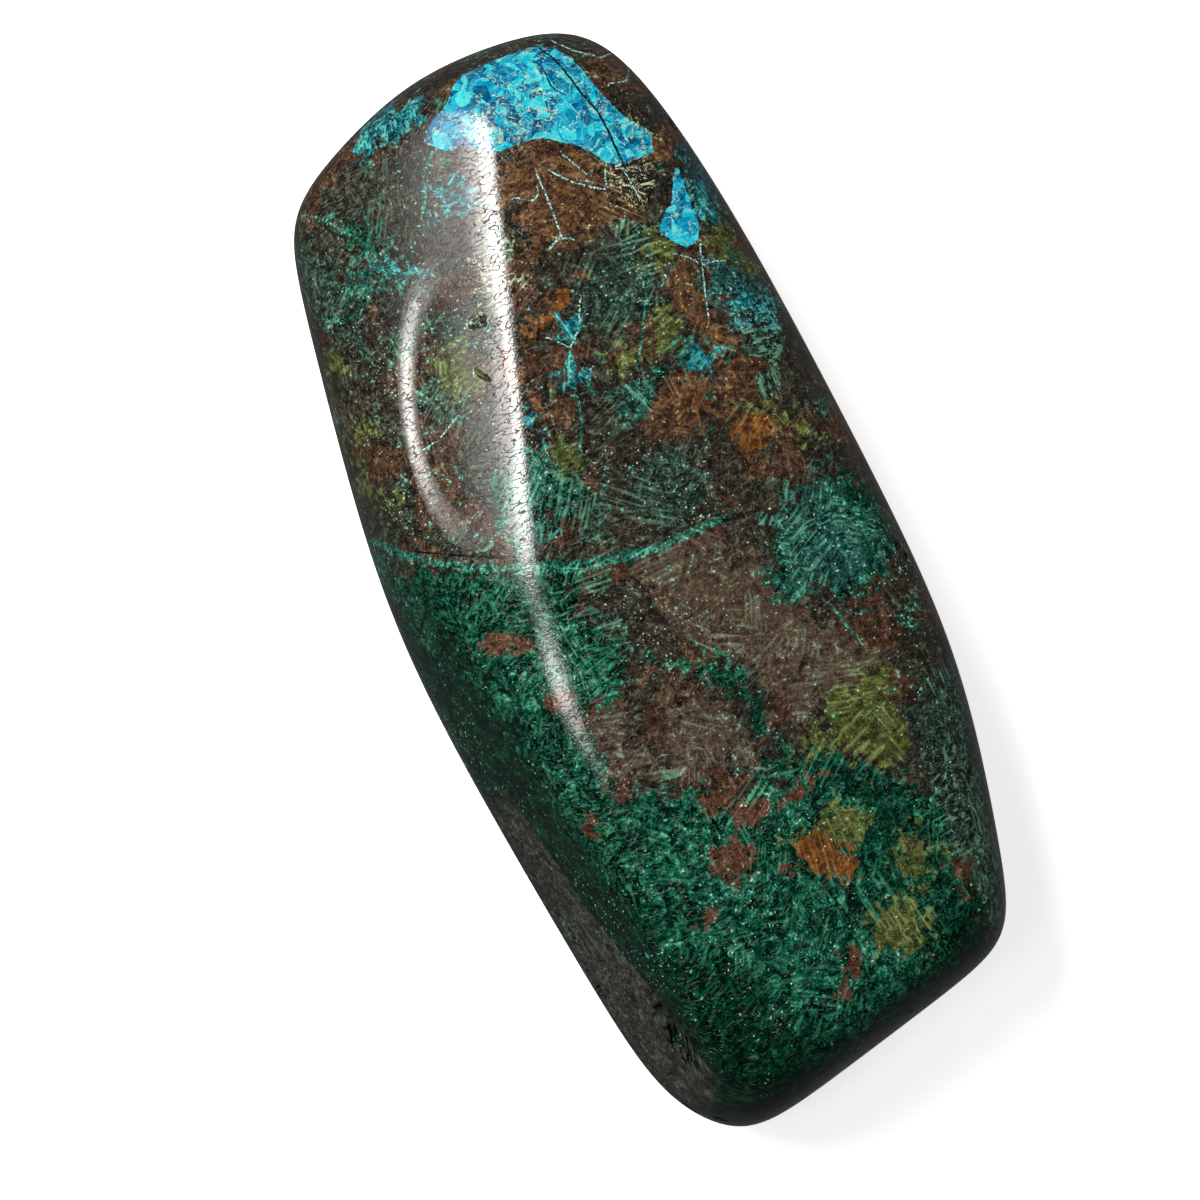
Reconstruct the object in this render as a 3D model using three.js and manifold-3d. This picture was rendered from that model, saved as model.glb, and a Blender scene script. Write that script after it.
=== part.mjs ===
// A polished freeform of chrysocolla with malachite and cuprite: one solid stone that lies on its flatter back.
// Lengths are millimetres and angles degrees. +Y runs along the stone, +X across it and +Z up out of its front.
import * as THREE from "three";
import { mergeVertices } from "three/addons/utils/BufferGeometryUtils.js";
import Module from "manifold-3d";

// The surface is found along rays from this point on the Z axis.
const CORE_HEIGHT = 11.5;
const LONGEST_RAY = 60;
const HALVINGS = 40;

// The outline is ten soft sides. Each faces a bearing, counted from +X towards +Y, at a reach from the Z axis.
// It is widest at WIDEST_HEIGHT, and curves in above and below that with its two radii.
const WIDEST_HEIGHT = 9;
const SIDES = [
  { bearing: 2, reach: 21.5, above: 30, below: 16 },
  { bearing: 15, reach: 28.1, above: 30, below: 16 },
  { bearing: 47, reach: 44.1, above: 24, below: 14 },
  { bearing: 85, reach: 47.6, above: 24, below: 14 },
  { bearing: 115, reach: 43.8, above: 22, below: 14 },
  { bearing: 169, reach: 23.1, above: 20, below: 16 },
  { bearing: 185, reach: 22.1, above: 20, below: 16 },
  { bearing: 221, reach: 41.6, above: 22, below: 14 },
  { bearing: 281, reach: 44.7, above: 30, below: 14 },
  { bearing: 344, reach: 26.4, above: 30, below: 16 },
];
const CORNER_SOFTNESS = 1.7;

// The front is a broad shallow dome, and a bevel that slopes off it towards the upper left, past a soft ridge.
// A dome's height is given on the Z axis, with its slopes and its curvature radii along X and Y.
const MAIN_FACE = { height: 24.05, slopeX: -0.01, slopeY: 0, radiusX: 110, radiusY: 420 };
const LEFT_BEVEL = { height: 29.04, slopeX: 0.42, slopeY: -0.155, radiusX: 160, radiusY: 420 };
const BEVEL_SOFTNESS = 0.6;

// The back is a dome too, pushed below the resting plane so that a flat of about 20 by 44 is left in its middle.
const BACK_DEPTH = 0.8;
const BACK_RADIUS_X = 60;
const BACK_RADIUS_Y = 300;
const RIM_SOFTNESS = 1.8;

// A flat was ground on the lower left side, and it keeps a crisp upper edge.
const GROUND_FLAT = { bearing: 187, lean: 21, reach: 24.6 };
const GROUND_EDGE_SOFTNESS = 0.35;

// A shallow oval scoop was polished into the bevel. Its floor is deepest on the left and runs out on the right,
// and its wall takes up the outer part of the oval, from WALL_START of its radius outwards.
const SCOOP = { x: -9.7, y: 18.6, halfLength: 13, halfWidth: 4.9, bearing: 71, depth: 0.28 };
const WALL_START = 0.7;

// Faces along each edge of the starting icosahedron, and the half sizes that spread them evenly over the stone.
const EDGE_FACES = 18;
const SPREAD = new THREE.Vector3(21.5, 47, 12);

// Hollows left by lost grains and chips. Each is a lens: where it is, its half sizes along and across it, its depth,
// and the bearing of its long side, which is turned in the surface.
const HOLLOWS = [
  { name: "edge chip", at: [-15.4, -36.3, 17.4], half: [3.3, 1.7], depth: 0.8, bearing: 110 },
  { name: "upper edge nick", at: [17.4, 33, 17.6], half: [0.9, 0.5], depth: 0.4, bearing: 20 },
  { name: "lower edge nick", at: [19.2, 20.8, 16.5], half: [0.9, 0.4], depth: 0.4, bearing: 20 },
  { name: "ridge pit", at: [-5.8, 23.9, 22], half: [0.85, 0.35], depth: 0.4, bearing: 165 },
  { name: "ridge crack", at: [-7.1, 19.2, 22], half: [1.1, 0.22], depth: 0.4, bearing: 125 },
  { name: "bevel pit", at: [-16, 25.8, 16.6], half: [0.7, 0.35], depth: 0.4, bearing: 170 },
  { name: "middle pit", at: [6.5, -13.7, 23.6], half: [0.55, 0.4], depth: 0.3, bearing: 40 },
  { name: "rusty pit", at: [1.8, -33.5, 22.7], half: [0.8, 0.45], depth: 0.45, bearing: 50 },
  { name: "right pit 1", at: [15.5, -25, 21.2], half: [0.5, 0.4], depth: 0.4, bearing: 60 },
  { name: "right pit 2", at: [16, -27.6, 20.3], half: [0.55, 0.4], depth: 0.45, bearing: 20 },
  { name: "right pit 3", at: [13.7, -26.3, 21.8], half: [0.5, 0.25], depth: 0.3, bearing: 110 },
  { name: "right pit 4", at: [13.8, -32.4, 20.9], half: [0.55, 0.4], depth: 0.4, bearing: 150 },
  { name: "edge pit 1", at: [19.3, -9, 19.3], half: [0.7, 0.4], depth: 0.45, bearing: 100 },
  { name: "edge pit 2", at: [18.7, -7.7, 20], half: [0.5, 0.35], depth: 0.4, bearing: 70 },
  { name: "low pit", at: [-8, -37.5, 22.1], half: [0.5, 0.3], depth: 0.3, bearing: 20 },
  { name: "flat pit", at: [-17.9, -29.4, 13], half: [0.7, 0.45], depth: 0.45, bearing: 100 },
  { name: "bottom pit 1", at: [-14.5, -45, 13.2], half: [0.6, 0.4], depth: 0.4, bearing: 30 },
  { name: "bottom pit 2", at: [-16.2, -43.4, 11], half: [0.8, 0.4], depth: 0.4, bearing: 130 },
  { name: "side groove 1", at: [-19.2, -25.5, 10.8], half: [2.2, 0.5], depth: 0.45, bearing: 95 },
  { name: "side groove 2", at: [-18.8, -30.6, 9.8], half: [1.8, 0.5], depth: 0.45, bearing: 100 },
];

const direction = (bearing) =>
  new THREE.Vector2(Math.cos(THREE.MathUtils.degToRad(bearing)), Math.sin(THREE.MathUtils.degToRad(bearing)));

// The largest of some distances, with the corner between them rounded off over about the given softness.
function softMax(distances, softness) {
  const largest = Math.max(...distances);
  const sum = distances.reduce((total, d) => total + Math.exp((d - largest) / softness), 0);
  return largest + softness * Math.log(sum);
}

// How far a point lies outside one soft side of the outline.
function outsideSide(point, side) {
  const facing = direction(side.bearing);
  const rise = point.z - WIDEST_HEIGHT;
  const curve = (rise * rise) / (2 * (rise > 0 ? side.above : side.below));
  return point.x * facing.x + point.y * facing.y - side.reach + curve;
}

// How far a point lies above a shallow dome, square to its slope.
function aboveDome(point, dome) {
  const bend = point.x ** 2 / (2 * dome.radiusX) + point.y ** 2 / (2 * dome.radiusY);
  const height = dome.height + dome.slopeX * point.x + dome.slopeY * point.y - bend;
  return (point.z - height) / Math.hypot(1, dome.slopeX, dome.slopeY);
}

function belowBack(point) {
  const sag = point.x ** 2 / (2 * BACK_RADIUS_X) + point.y ** 2 / (2 * BACK_RADIUS_Y);
  return sag - BACK_DEPTH - point.z;
}

function outsideGroundFlat(point) {
  const facing = direction(GROUND_FLAT.bearing);
  const lean = THREE.MathUtils.degToRad(GROUND_FLAT.lean);
  return (point.x * facing.x + point.y * facing.y) * Math.cos(lean) + point.z * Math.sin(lean) - GROUND_FLAT.reach;
}

// How deep the scoop is at a point of the front.
function scoopDepth(point) {
  if (point.z < CORE_HEIGHT) return 0;
  const facing = direction(SCOOP.bearing);
  const x = point.x - SCOOP.x;
  const y = point.y - SCOOP.y;
  const along = (x * facing.x + y * facing.y) / SCOOP.halfLength;
  const across = (y * facing.x - x * facing.y) / SCOOP.halfWidth;
  const wall = THREE.MathUtils.smoothstep(1 - Math.hypot(along, across), 0, 1 - WALL_START);
  return (SCOOP.depth * wall * (1 + across)) / 2;
}

// Negative inside the polished stone and positive outside it.
function outsideStone(point) {
  const side = softMax(SIDES.map((s) => outsideSide(point, s)), CORNER_SOFTNESS);
  const body = softMax([side, aboveDome(point, MAIN_FACE), belowBack(point)], RIM_SOFTNESS);
  const bevelled = softMax([body, aboveDome(point, LEFT_BEVEL)], BEVEL_SOFTNESS);
  return softMax([bevelled, outsideGroundFlat(point)], GROUND_EDGE_SOFTNESS) + scoopDepth(point);
}

// The point where a ray from the core meets the surface, found by halving. The resting plane cuts it off flat.
function surfacePoint(ray) {
  const core = new THREE.Vector3(0, 0, CORE_HEIGHT);
  let inside = 0;
  let outside = LONGEST_RAY;
  for (let step = 0; step < HALVINGS; step += 1) {
    const middle = (inside + outside) / 2;
    if (outsideStone(core.clone().addScaledVector(ray, middle)) < 0) inside = middle;
    else outside = middle;
  }
  const toPlane = ray.z < 0 ? -CORE_HEIGHT / ray.z : LONGEST_RAY;
  const point = core.addScaledVector(ray, Math.min(inside, toPlane));
  point.z = Math.max(point.z, 0);
  return point;
}

// The outward normal of the polished surface, from small differences.
function normalAt(point) {
  const step = 0.05;
  const slope = (axis) =>
    outsideStone(point.clone().addScaledVector(axis, step)) - outsideStone(point.clone().addScaledVector(axis, -step));
  const axes = [new THREE.Vector3(1, 0, 0), new THREE.Vector3(0, 1, 0), new THREE.Vector3(0, 0, 1)];
  return new THREE.Vector3(...axes.map(slope)).normalize();
}

function withSharedVertices(geometry) {
  geometry.deleteAttribute("normal");
  geometry.deleteAttribute("uv");
  return mergeVertices(geometry);
}

function polishedGeometry() {
  const geometry = withSharedVertices(new THREE.IcosahedronGeometry(1, EDGE_FACES - 1));
  const position = geometry.getAttribute("position");
  const ray = new THREE.Vector3();
  for (let i = 0; i < position.count; i += 1) {
    ray.fromBufferAttribute(position, i).multiply(SPREAD).normalize();
    const point = surfacePoint(ray);
    position.setXYZ(i, point.x, point.y, point.z);
  }
  return geometry;
}

// A lens that cuts one hollow, lying along the surface, with its long side square to the normal on its bearing.
function hollowGeometry(hollow) {
  const geometry = withSharedVertices(new THREE.IcosahedronGeometry(1, 1));
  const core = new THREE.Vector3(0, 0, CORE_HEIGHT);
  const middle = surfacePoint(new THREE.Vector3(...hollow.at).sub(core).normalize());
  const normal = normalAt(middle);
  const facing = direction(hollow.bearing);
  const long = new THREE.Vector3(facing.x, facing.y, 0).projectOnPlane(normal).normalize();
  const short = normal.clone().cross(long);
  geometry.scale(hollow.half[0], hollow.half[1], hollow.depth);
  geometry.applyMatrix4(new THREE.Matrix4().makeBasis(long, short, normal).setPosition(middle));
  return geometry;
}

const wasm = await Module();
wasm.setup();

function solidOf(geometry) {
  const vertProperties = geometry.getAttribute("position").array;
  return new wasm.Manifold(new wasm.Mesh({ numProp: 3, vertProperties, triVerts: new Uint32Array(geometry.index.array) }));
}

function geometryOf(solid) {
  const mesh = solid.getMesh();
  const geometry = new THREE.BufferGeometry();
  geometry.setAttribute("position", new THREE.BufferAttribute(mesh.vertProperties, mesh.numProp));
  geometry.setIndex(new THREE.BufferAttribute(mesh.triVerts, 1));
  return geometry;
}

function makeStone() {
  let solid = solidOf(polishedGeometry());
  for (const hollow of HOLLOWS) solid = solid.subtract(solidOf(hollowGeometry(hollow)));
  const material = new THREE.MeshStandardMaterial({ color: 0x2f4a40, roughness: 0.16, metalness: 0 });
  const stone = new THREE.Mesh(geometryOf(solid), material);
  stone.name = "stone";
  return stone;
}

const specimen = new THREE.Group();
specimen.add(makeStone());

export default specimen;
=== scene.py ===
import math

import bmesh
import bpy
import numpy as np
from mathutils import Matrix, Vector, noise


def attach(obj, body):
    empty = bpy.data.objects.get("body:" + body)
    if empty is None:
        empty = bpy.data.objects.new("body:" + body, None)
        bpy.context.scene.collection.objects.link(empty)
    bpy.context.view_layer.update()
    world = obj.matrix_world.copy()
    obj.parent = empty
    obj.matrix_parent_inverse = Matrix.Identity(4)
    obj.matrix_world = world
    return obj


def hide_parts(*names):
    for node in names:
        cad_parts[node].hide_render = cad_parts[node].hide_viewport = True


MM = 0.001

# The stone repeats its solid's shape: soft sides, a domed front and back, a bevel, a ground flat and a scoop.
# Its surface is found along rays from a core inside it.
CORE_HEIGHT = 11.5
CORE = np.array([0, 0, CORE_HEIGHT])
LONGEST_RAY = 60.0
HALVINGS = 26
WIDEST_HEIGHT = 9.0
# One row a side: its bearing from +X towards +Y, its reach from the Z axis, and its radii above and below.
SIDES = [
    (2, 21.5, 30, 16),
    (15, 28.1, 30, 16),
    (47, 44.1, 24, 14),
    (85, 47.6, 24, 14),
    (115, 43.8, 22, 14),
    (169, 23.1, 20, 16),
    (185, 22.1, 20, 16),
    (221, 41.6, 22, 14),
    (281, 44.7, 30, 14),
    (344, 26.4, 30, 16),
]
CORNER_SOFTNESS = 1.7
MAIN_FACE = {"height": 24.05, "slope": (-0.01, 0.0), "radius": (110, 420)}
LEFT_BEVEL = {"height": 29.04, "slope": (0.42, -0.155), "radius": (160, 420)}
BEVEL_SOFTNESS = 0.6
BACK_DEPTH = 0.8
BACK_RADIUS = (60, 300)
RIM_SOFTNESS = 1.8
GROUND_FLAT = {"bearing": 187, "lean": 21, "reach": 24.6}
GROUND_EDGE_SOFTNESS = 0.35
# The dull part of the ground flat is painted grey: partly its own dark stone, partly a painted reflection of
# the grey surroundings. The list gives the height of its upper edge at some places along the stone.
DULL_EDGE = [(-43, 19), (-34, 18.4), (-25, 16), (-11, 14.7)]
DULL_END = -12.0
DULL_MARGIN = 0.4
DULL_FADE = 0.1
# The scoop's wall starts at a share of its half sizes.
SCOOP = {"middle": (-9.7, 18.6), "half_length": 13, "half_width": 4.9, "bearing": 71, "depth": 0.28}
WALL_START = 0.7

# Hollows: where each lens is cut, its half sizes along and across it, its depth and its bearing.
HOLLOWS = [
    ((-15.4, -36.3, 17.4), (3.3, 1.7), 0.8, 110),
    ((17.4, 33, 17.6), (0.9, 0.5), 0.4, 20),
    ((19.2, 20.8, 16.5), (0.9, 0.4), 0.4, 20),
    ((-5.8, 23.9, 22), (0.9, 0.4), 0.45, 165),
    ((-7.1, 19.2, 22), (0.8, 0.16), 0.3, 125),
    ((-16, 25.8, 16.6), (0.7, 0.35), 0.4, 170),
    ((6.5, -13.7, 23.6), (0.55, 0.4), 0.3, 40),
    ((1.8, -33.5, 22.7), (0.8, 0.45), 0.45, 50),
    ((15.5, -25, 21.2), (0.5, 0.4), 0.4, 60),
    ((16, -27.6, 20.3), (0.55, 0.4), 0.45, 20),
    ((13.7, -26.3, 21.8), (0.5, 0.25), 0.3, 110),
    ((13.8, -32.4, 20.9), (0.55, 0.4), 0.4, 150),
    ((19.3, -9, 19.3), (0.7, 0.4), 0.45, 100),
    ((18.7, -7.7, 20), (0.5, 0.35), 0.4, 70),
    ((-8, -37.5, 22.1), (0.5, 0.3), 0.3, 20),
    ((-17.9, -29.4, 13), (0.7, 0.45), 0.45, 100),
    ((-14.5, -45, 13.2), (0.6, 0.4), 0.4, 30),
    ((-16.2, -43.4, 11), (0.8, 0.4), 0.4, 130),
    ((-19.2, -25.5, 10.8), (2.2, 0.5), 0.45, 95),
    ((-18.8, -30.6, 9.8), (1.8, 0.5), 0.45, 100),
]
# How uneven a hollow is, as a share of its half width, and the number and strength of its waves in a mm.
HOLLOW_ROUGHNESS = 0.35
HOLLOW_WAVES = [(1.1, 1.0), (3.1, 0.5)]
# The half lengths round a hollow's middle in which the surface is carved, and in which its mesh is cut finer.
CARVED_REACH = 2.0
FINER_REACH = 1.2
HOLLOW_CUTS = 2

# The mesh starts as an icosahedron with this many faces along each edge, spread over the stone's half sizes.
EDGE_FACES = 88
SPREAD = (21.5, 47.0, 12.0)
# The surface keeps this far inside the solid's own.
INSET = 0.012

# The minerals are laid out on the front. Below it they slant, and they twist more the deeper they lie.
PATTERN_SEED = 11
PATTERN_TOP = 17.0
PATTERN_SLANT = (0.55, -0.8)
TWIST_SCALE = 0.09
TWIST_SHARE = 0.45
# Past these half sizes the layout is read backwards again.
LAYOUT_HALF_WIDTH = 21.0
LAYOUT_HALF_LENGTH = 46.5
# The distance that stands for no line or outline nearby.
FARTHEST = 99.0

# The camera looks down on the stone. Its leans and its turn are in degrees.
CAMERA_LEAN_X = 8.0
CAMERA_LEAN_Y = 3.0
CAMERA_TURN = 25.27
CAMERA_TARGET = (-4.44, -0.735, 9.0)
CAMERA_DISTANCE = 300.0
LENS = 104.04
SENSOR = 36.0
CLIP_START = 10.0

# Lights: name, bearing right of the camera's axis and above it, width, height, brightness, and whether the
# polish shows it.
PANELS = [
    ("window", -23.5, 22, 74, 265, 30, True),
    ("window_side", -32, 22, 76, 265, 13, True),
    ("window_far", -41.5, 22, 95, 265, 4, True),
    ("lamp", -16, -2, 80, 70, 14, True),
    ("fill", 60, 18, 400, 400, 1.5, False),
]
PANEL_COLOUR = (1.0, 0.97, 0.93)
PANEL_AIM = (-4.0, 0.0, 12.0)
PANEL_DISTANCE = 500.0
# The room's light low down and high up, and the upward slopes of view between which it changes.
HORIZON_LIGHT = 0.08
ZENITH_LIGHT = 0.012
ROOM_HEIGHTS = (-0.3, 0.5)
FLOOR_GLOW = 0.68
FLOOR_GREYS = (0.86, 0.9)
FLOOR_HALF = 1500.0

# Where each mineral shows on the front, as outlines of X and Y. Their edges are roughened in the material.
MINERALS = {
    "azure": [
        [(-3.1, 39.9), (-1.6, 41.3), (0.2, 42), (1, 43), (2.5, 44), (8.7, 43.9), (10.6, 43), (11.6, 40.6),
         (12.4, 37), (13.3, 34.6), (14.8, 32.8), (14, 31), (11.2, 31), (10, 31.6), (9.3, 32.9), (8, 34.2),
         (6, 35.7), (4, 36.2), (2.4, 36.2), (0.8, 37), (-0.3, 38.2), (-1.4, 38.1)],
        [(16, 30.2), (14.4, 27.9), (13.6, 26.6), (12.6, 25.8), (11.4, 24.6), (12, 23.5), (13, 22.3),
         (14.3, 22.7), (15, 24), (15.1, 26.2), (15.4, 28)],
    ],
    "cream": [
        [(0.4, 40.3), (2.4, 40.9), (4.6, 40.8), (5.6, 39.6), (5.8, 38), (7.2, 37.6), (7, 35.8), (5, 36.2),
         (3.6, 38), (1.4, 38.2)],
        [(11.2, 40), (12.2, 38), (13, 35), (14.6, 33), (13.4, 32.6), (12, 34.6), (11.4, 37)],
        [(4, 42), (6.4, 41.6), (6.4, 40.8), (4.2, 41)],
        [(9.8, 30.6), (12, 30.4), (12.4, 27.6), (10.6, 27), (9.4, 28.8)],
        # This outline is a painted highlight: cream and dark scratches where the window's highlight band runs
        # over the bevel.
        [(-5.5, 29.5), (-1, 30), (-0.4, 25), (-4.6, 24.4)],
    ],
    "malachite": [
        [(-22, 8), (-18.6, 8), (-16.6, 6.4), (-14, 4.6), (-11, 4), (-9, 3), (-7.4, 1.6), (-9, -0.6),
         (-8, -3), (-7.6, -8), (-7, -9.6), (-10, -9), (-12.4, -10), (-11.6, -13), (-12, -15.8), (-9.6, -17),
         (-8, -18.4), (-6, -18.8), (-5.8, -20.6), (-3, -21.2), (0.6, -21), (1, -18.4), (3, -19.4),
         (5.6, -18.8), (6.6, -21), (9, -23.6), (11, -25), (12, -29), (11, -34), (12, -38), (12, -48),
         (-12, -48), (-22, -40)],
        [(-9.8, 9.8), (-7.4, 11.3), (-5.2, 11.6), (-4.2, 10), (-4.6, 7.4), (-7.2, 5.4), (-9.6, 4.6),
         (-11.2, 5.2), (-11, 8)],
        [(6.4, -6), (7.8, -3.6), (9.4, -2.2), (13, -1), (17, 0), (19.5, -2), (19, -8), (15, -10.2),
         (11, -9.6), (10.8, -8), (8.4, -8.6), (6.6, -7.6)],
        [(-4.4, -8), (-2.4, -8.4), (0, -10), (1.4, -12), (2.2, -15), (2.2, -18), (0.6, -18), (0.2, -14.6),
         (-0.8, -11.6), (-2.6, -9.8)],
        [(-12.6, 30.4), (-10.4, 31.8), (-9, 34.4), (-9, 37.4), (-10, 37.2), (-11.6, 35), (-12.4, 32.6)],
        [(7, 7.2), (8.4, 7.8), (8.6, 6.2), (7.6, 5.6)],
        [(2.8, 12.6), (6.6, 14.6), (7.2, 13), (4.4, 11.8)],
        [(-20.4, 17), (-18.4, 17), (-18.6, 13.6), (-20.4, 13)],
    ],
    "turquoise": [
        [(6.8, -5.4), (9.6, -2), (12.6, -1), (16.6, -1), (17.4, -8), (14.8, -9.6), (11.4, -9.2), (8, -7.6)],
        [(8.6, 14.6), (10.4, 14), (11, 12), (9.6, 11)],
        [(2.4, 12.6), (3.6, 13), (4.4, 11.8), (3.2, 11.4)],
        [(14.4, 19.6), (16.2, 20.4), (18, 16), (16.4, 14), (14.8, 16.4)],
        [(-9.8, 9.8), (-6.8, 10.6), (-6, 7), (-9.6, 5)],
        [(-12, 31.4), (-9.4, 33), (-9.2, 30), (-7.4, 28.8), (-9.8, 29)],
        [(-0.8, 15.6), (0.4, 15.4), (0.2, 14.6), (-0.8, 14.6)],
        [(-6, 15.6), (-5, 15.6), (-5, 13.6), (-5.8, 13.8)],
    ],
    "deep": [
        [(-20, 4), (-17, 0), (-17.6, -10), (-15.8, -20), (-14, -25), (-13.6, -30), (-10, -33), (-8, -37),
         (-6, -41), (-2, -44), (-6, -48), (-16, -48), (-20, -38)],
        [(9.4, -3.4), (12.4, -3.6), (12, -5.6), (9, -5.6)],
        [(13.4, -5.4), (16, -5), (16.4, -9), (13.6, -8.4)],
        [(2, -41), (8, -39), (13, -33), (15, -36), (14, -48), (-3, -48), (-3, -45)],
    ],
    "rust": [
        [(-7.2, -24.4), (-4.4, -24.2), (-4.1, -25.8), (-5.4, -26.7), (-6.8, -28), (-7.2, -26.5)],
        [(-10.7, -28.9), (-9.8, -28.3), (-7.5, -28.1), (-7.6, -29), (-9.3, -29.8)],
        [(-2.6, -28.3), (-0.6, -28), (-1.2, -28.9), (-2.2, -29.2)],
        [(-4, -21.8), (0, -22), (4.5, -22.2), (2.5, -23.2), (-1, -23.7), (-4, -23.6)],
        [(-1.4, -38), (0, -35.8), (0.6, -36.6), (-0.4, -38)],
        [(-2.4, -39.4), (-1, -38.2), (-1.2, -39.4)],
        [(-12.2, -16.2), (-10.6, -16), (-11, -17.4), (-12, -17.2)],
        [(-15.2, -17), (-14.2, -17.2), (-14.6, -19), (-15.4, -18.8)],
        [(-17.6, -0.4), (-15.4, -0.2), (-13, -1.6), (-13.6, -2.6), (-16, -1.8)],
        [(-14, -7), (-12.2, -6.4), (-11.6, -8.2), (-13.2, -9)],
        [(-5.6, -20), (-2, -19.6), (-3, -20.8), (-5.4, -21)],
    ],
    "umber": [
        [(1, 34), (4.6, 35.4), (7.4, 33.8), (9.4, 31), (9, 28), (4, 26.4), (0.6, 27.4), (0.4, 31)],
        [(-4.2, 20.6), (-1, 22), (3.6, 23.8), (2, 22), (-2, 20.8)],
        [(3.6, 10.6), (6.4, 13), (9.6, 12), (11, 9.4), (7, 7.8), (5, 9)],
        [(9.8, 8), (13, 7.6), (12.8, 4.4), (9.6, 5)],
        [(-6, 20), (-3.6, 19), (-3, 14), (-5, 13.6)],
        [(0, 28.2), (4, 27.6), (10.6, 28.4), (10.4, 27), (4, 26.2), (0.6, 27)],
        [(14, 33), (15.6, 32.6), (15.4, 30.4), (13.8, 30.8)],
        [(10.4, 22), (12, 21), (12.4, 12), (11, 9), (10.6, 15)],
    ],
    "olive": [
        [(7.6, -17.2), (12.6, -16), (12.8, -19), (12, -23.4), (9.6, -24), (6.4, -21), (3, -20), (5, -18.6)],
        [(0, -26), (1.4, -25.2), (4, -24.4), (7, -25), (6, -28), (2.6, -28.4), (2, -30), (0.5, -29)],
        [(6.8, -30.4), (9.6, -29), (9.4, -33), (7.5, -34.8), (6.8, -32.6)],
        [(10.2, 24.2), (11.7, 24.2), (11.6, 22), (10.2, 21.4)],
        [(14.4, 21.4), (17, 22.8), (19, 18.4), (17.4, 17.4), (15.6, 19.4)],
        [(12.2, 8.4), (13.4, 8), (15.4, 6), (15.2, 3.8), (13, 5)],
        [(-20.6, 14), (-18, 13.4), (-18.2, 22), (-19.2, 22)],
        [(-18.4, 26.4), (-16.6, 26), (-16.6, 24.4), (-18.6, 24)],
        [(-10, 22.6), (-8, 22.4), (-8, 19.4), (-10, 19.6)],
        [(2.4, 14.6), (4, 17.2), (7, 17), (9.4, 18), (9.2, 15), (5, 15.4)],
        [(-4.6, 11.8), (-3.4, 12), (-3.6, 9.6), (-4.6, 9.4)],
        [(3, -35), (7, -35), (6, -38.4), (3, -38)],
    ],
    "ochre": [
        [(-4.7, 20.7), (-3.7, 19.9), (0.5, 21.2), (2.2, 22.2), (1.5, 23.2), (-1.7, 22.2)],
        [(9.6, 6.5), (13.6, 6.3), (11.9, 3.9), (9.5, 4.6)],
        [(-0.2, -27.6), (1.3, -25.7), (2.4, -27.4), (3.8, -29.5), (2.9, -30.6), (0.6, -29.6)],
    ],
    "cyan": [
        [(9.6, 13.5), (10.9, 13.3), (10.7, 11.7), (9.4, 12)],
        [(-5.6, 15.8), (-5, 15.7), (-5.1, 13), (-5.8, 12.8)],
        [(-3.5, 35.5), (-2.3, 35.8), (-2.1, 34.1), (-3.4, 33.5)],
        [(-11.1, 32), (-9.4, 31.8), (-7.7, 29.8), (-8.2, 29.4), (-10.1, 30.8)],
        [(1.2, 21.3), (1.7, 21.1), (1.1, 19.8), (0.5, 20)],
        [(-8.6, 43.4), (-6.4, 43.9), (-4, 43.7), (-2, 43.2), (-2.2, 41.8), (-5, 41.8), (-7.6, 41.8)],
        [(0.1, 16.7), (0.5, 15.6), (-0.8, 14.9), (-0.7, 16)],
        [(15.8, 17.3), (17.5, 15.8), (17.6, 14.1), (16.3, 14.7), (15.5, 16.3)],
        [(16.1, 26.7), (16.8, 26.1), (16.6, 24.5), (15.7, 25.1)],
    ],
    "sand": [
        [(-3, -1), (4, -0.6), (7.4, -3), (9.6, -9), (12, -12), (12.6, -16), (8, -17), (4, -18), (3.4, -13),
         (0, -8), (-3.6, -6)],
        [(-13.6, -9.6), (-8.6, -9.4), (-8.4, -16.6), (-11.6, -16.4)],
        [(-4, -9.4), (-1, -12), (-0.6, -18), (-5, -18), (-7, -14)],
    ],
    "steel": [
        [(13.4, 20.8), (15, 21.4), (18.6, 18), (18.6, 14.4), (16.4, 13.4), (14.2, 15.4)],
        [(0.6, 31), (3, 34), (6, 33), (8.6, 30.6), (6, 28.4), (2, 28.6)],
        [(-4, 36), (-2, 35.4), (-2, 33.6), (-4.2, 33.8)],
        [(15.8, 30), (19, 32), (19.4, 26.6), (17, 25)],
    ],
    "charcoal": [
        [(12.4, -19), (14, -20), (24, -16), (24, -46), (8, -46), (4, -44), (9, -41), (12, -36), (12.4, -30),
         (11.6, -26)],
        [(-0.6, 6), (2, 8.4), (5, 6.8), (7, 3), (4, 1.4), (0.6, 1.6)],
        [(15.6, 30), (20, 34), (20, 24), (16.4, 23), (15.4, 25)],
        [(-22, 24), (-15, 27), (-13, 33), (-14, 38), (-22, 44)],
        [(3, 24.6), (9, 25.6), (9.6, 19), (5, 18), (1.4, 20)],
        [(-20.6, 12), (-19, 9.4), (-17.4, 7.8), (-18.4, 7), (-21, 8)],
        [(11.6, 20), (14, 20), (13.4, 16), (11.8, 15)],
        [(-12.6, 21), (-9.6, 22), (-8.4, 19.6), (-10.4, 17.4), (-12.8, 18.6)],
    ],
}

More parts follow.
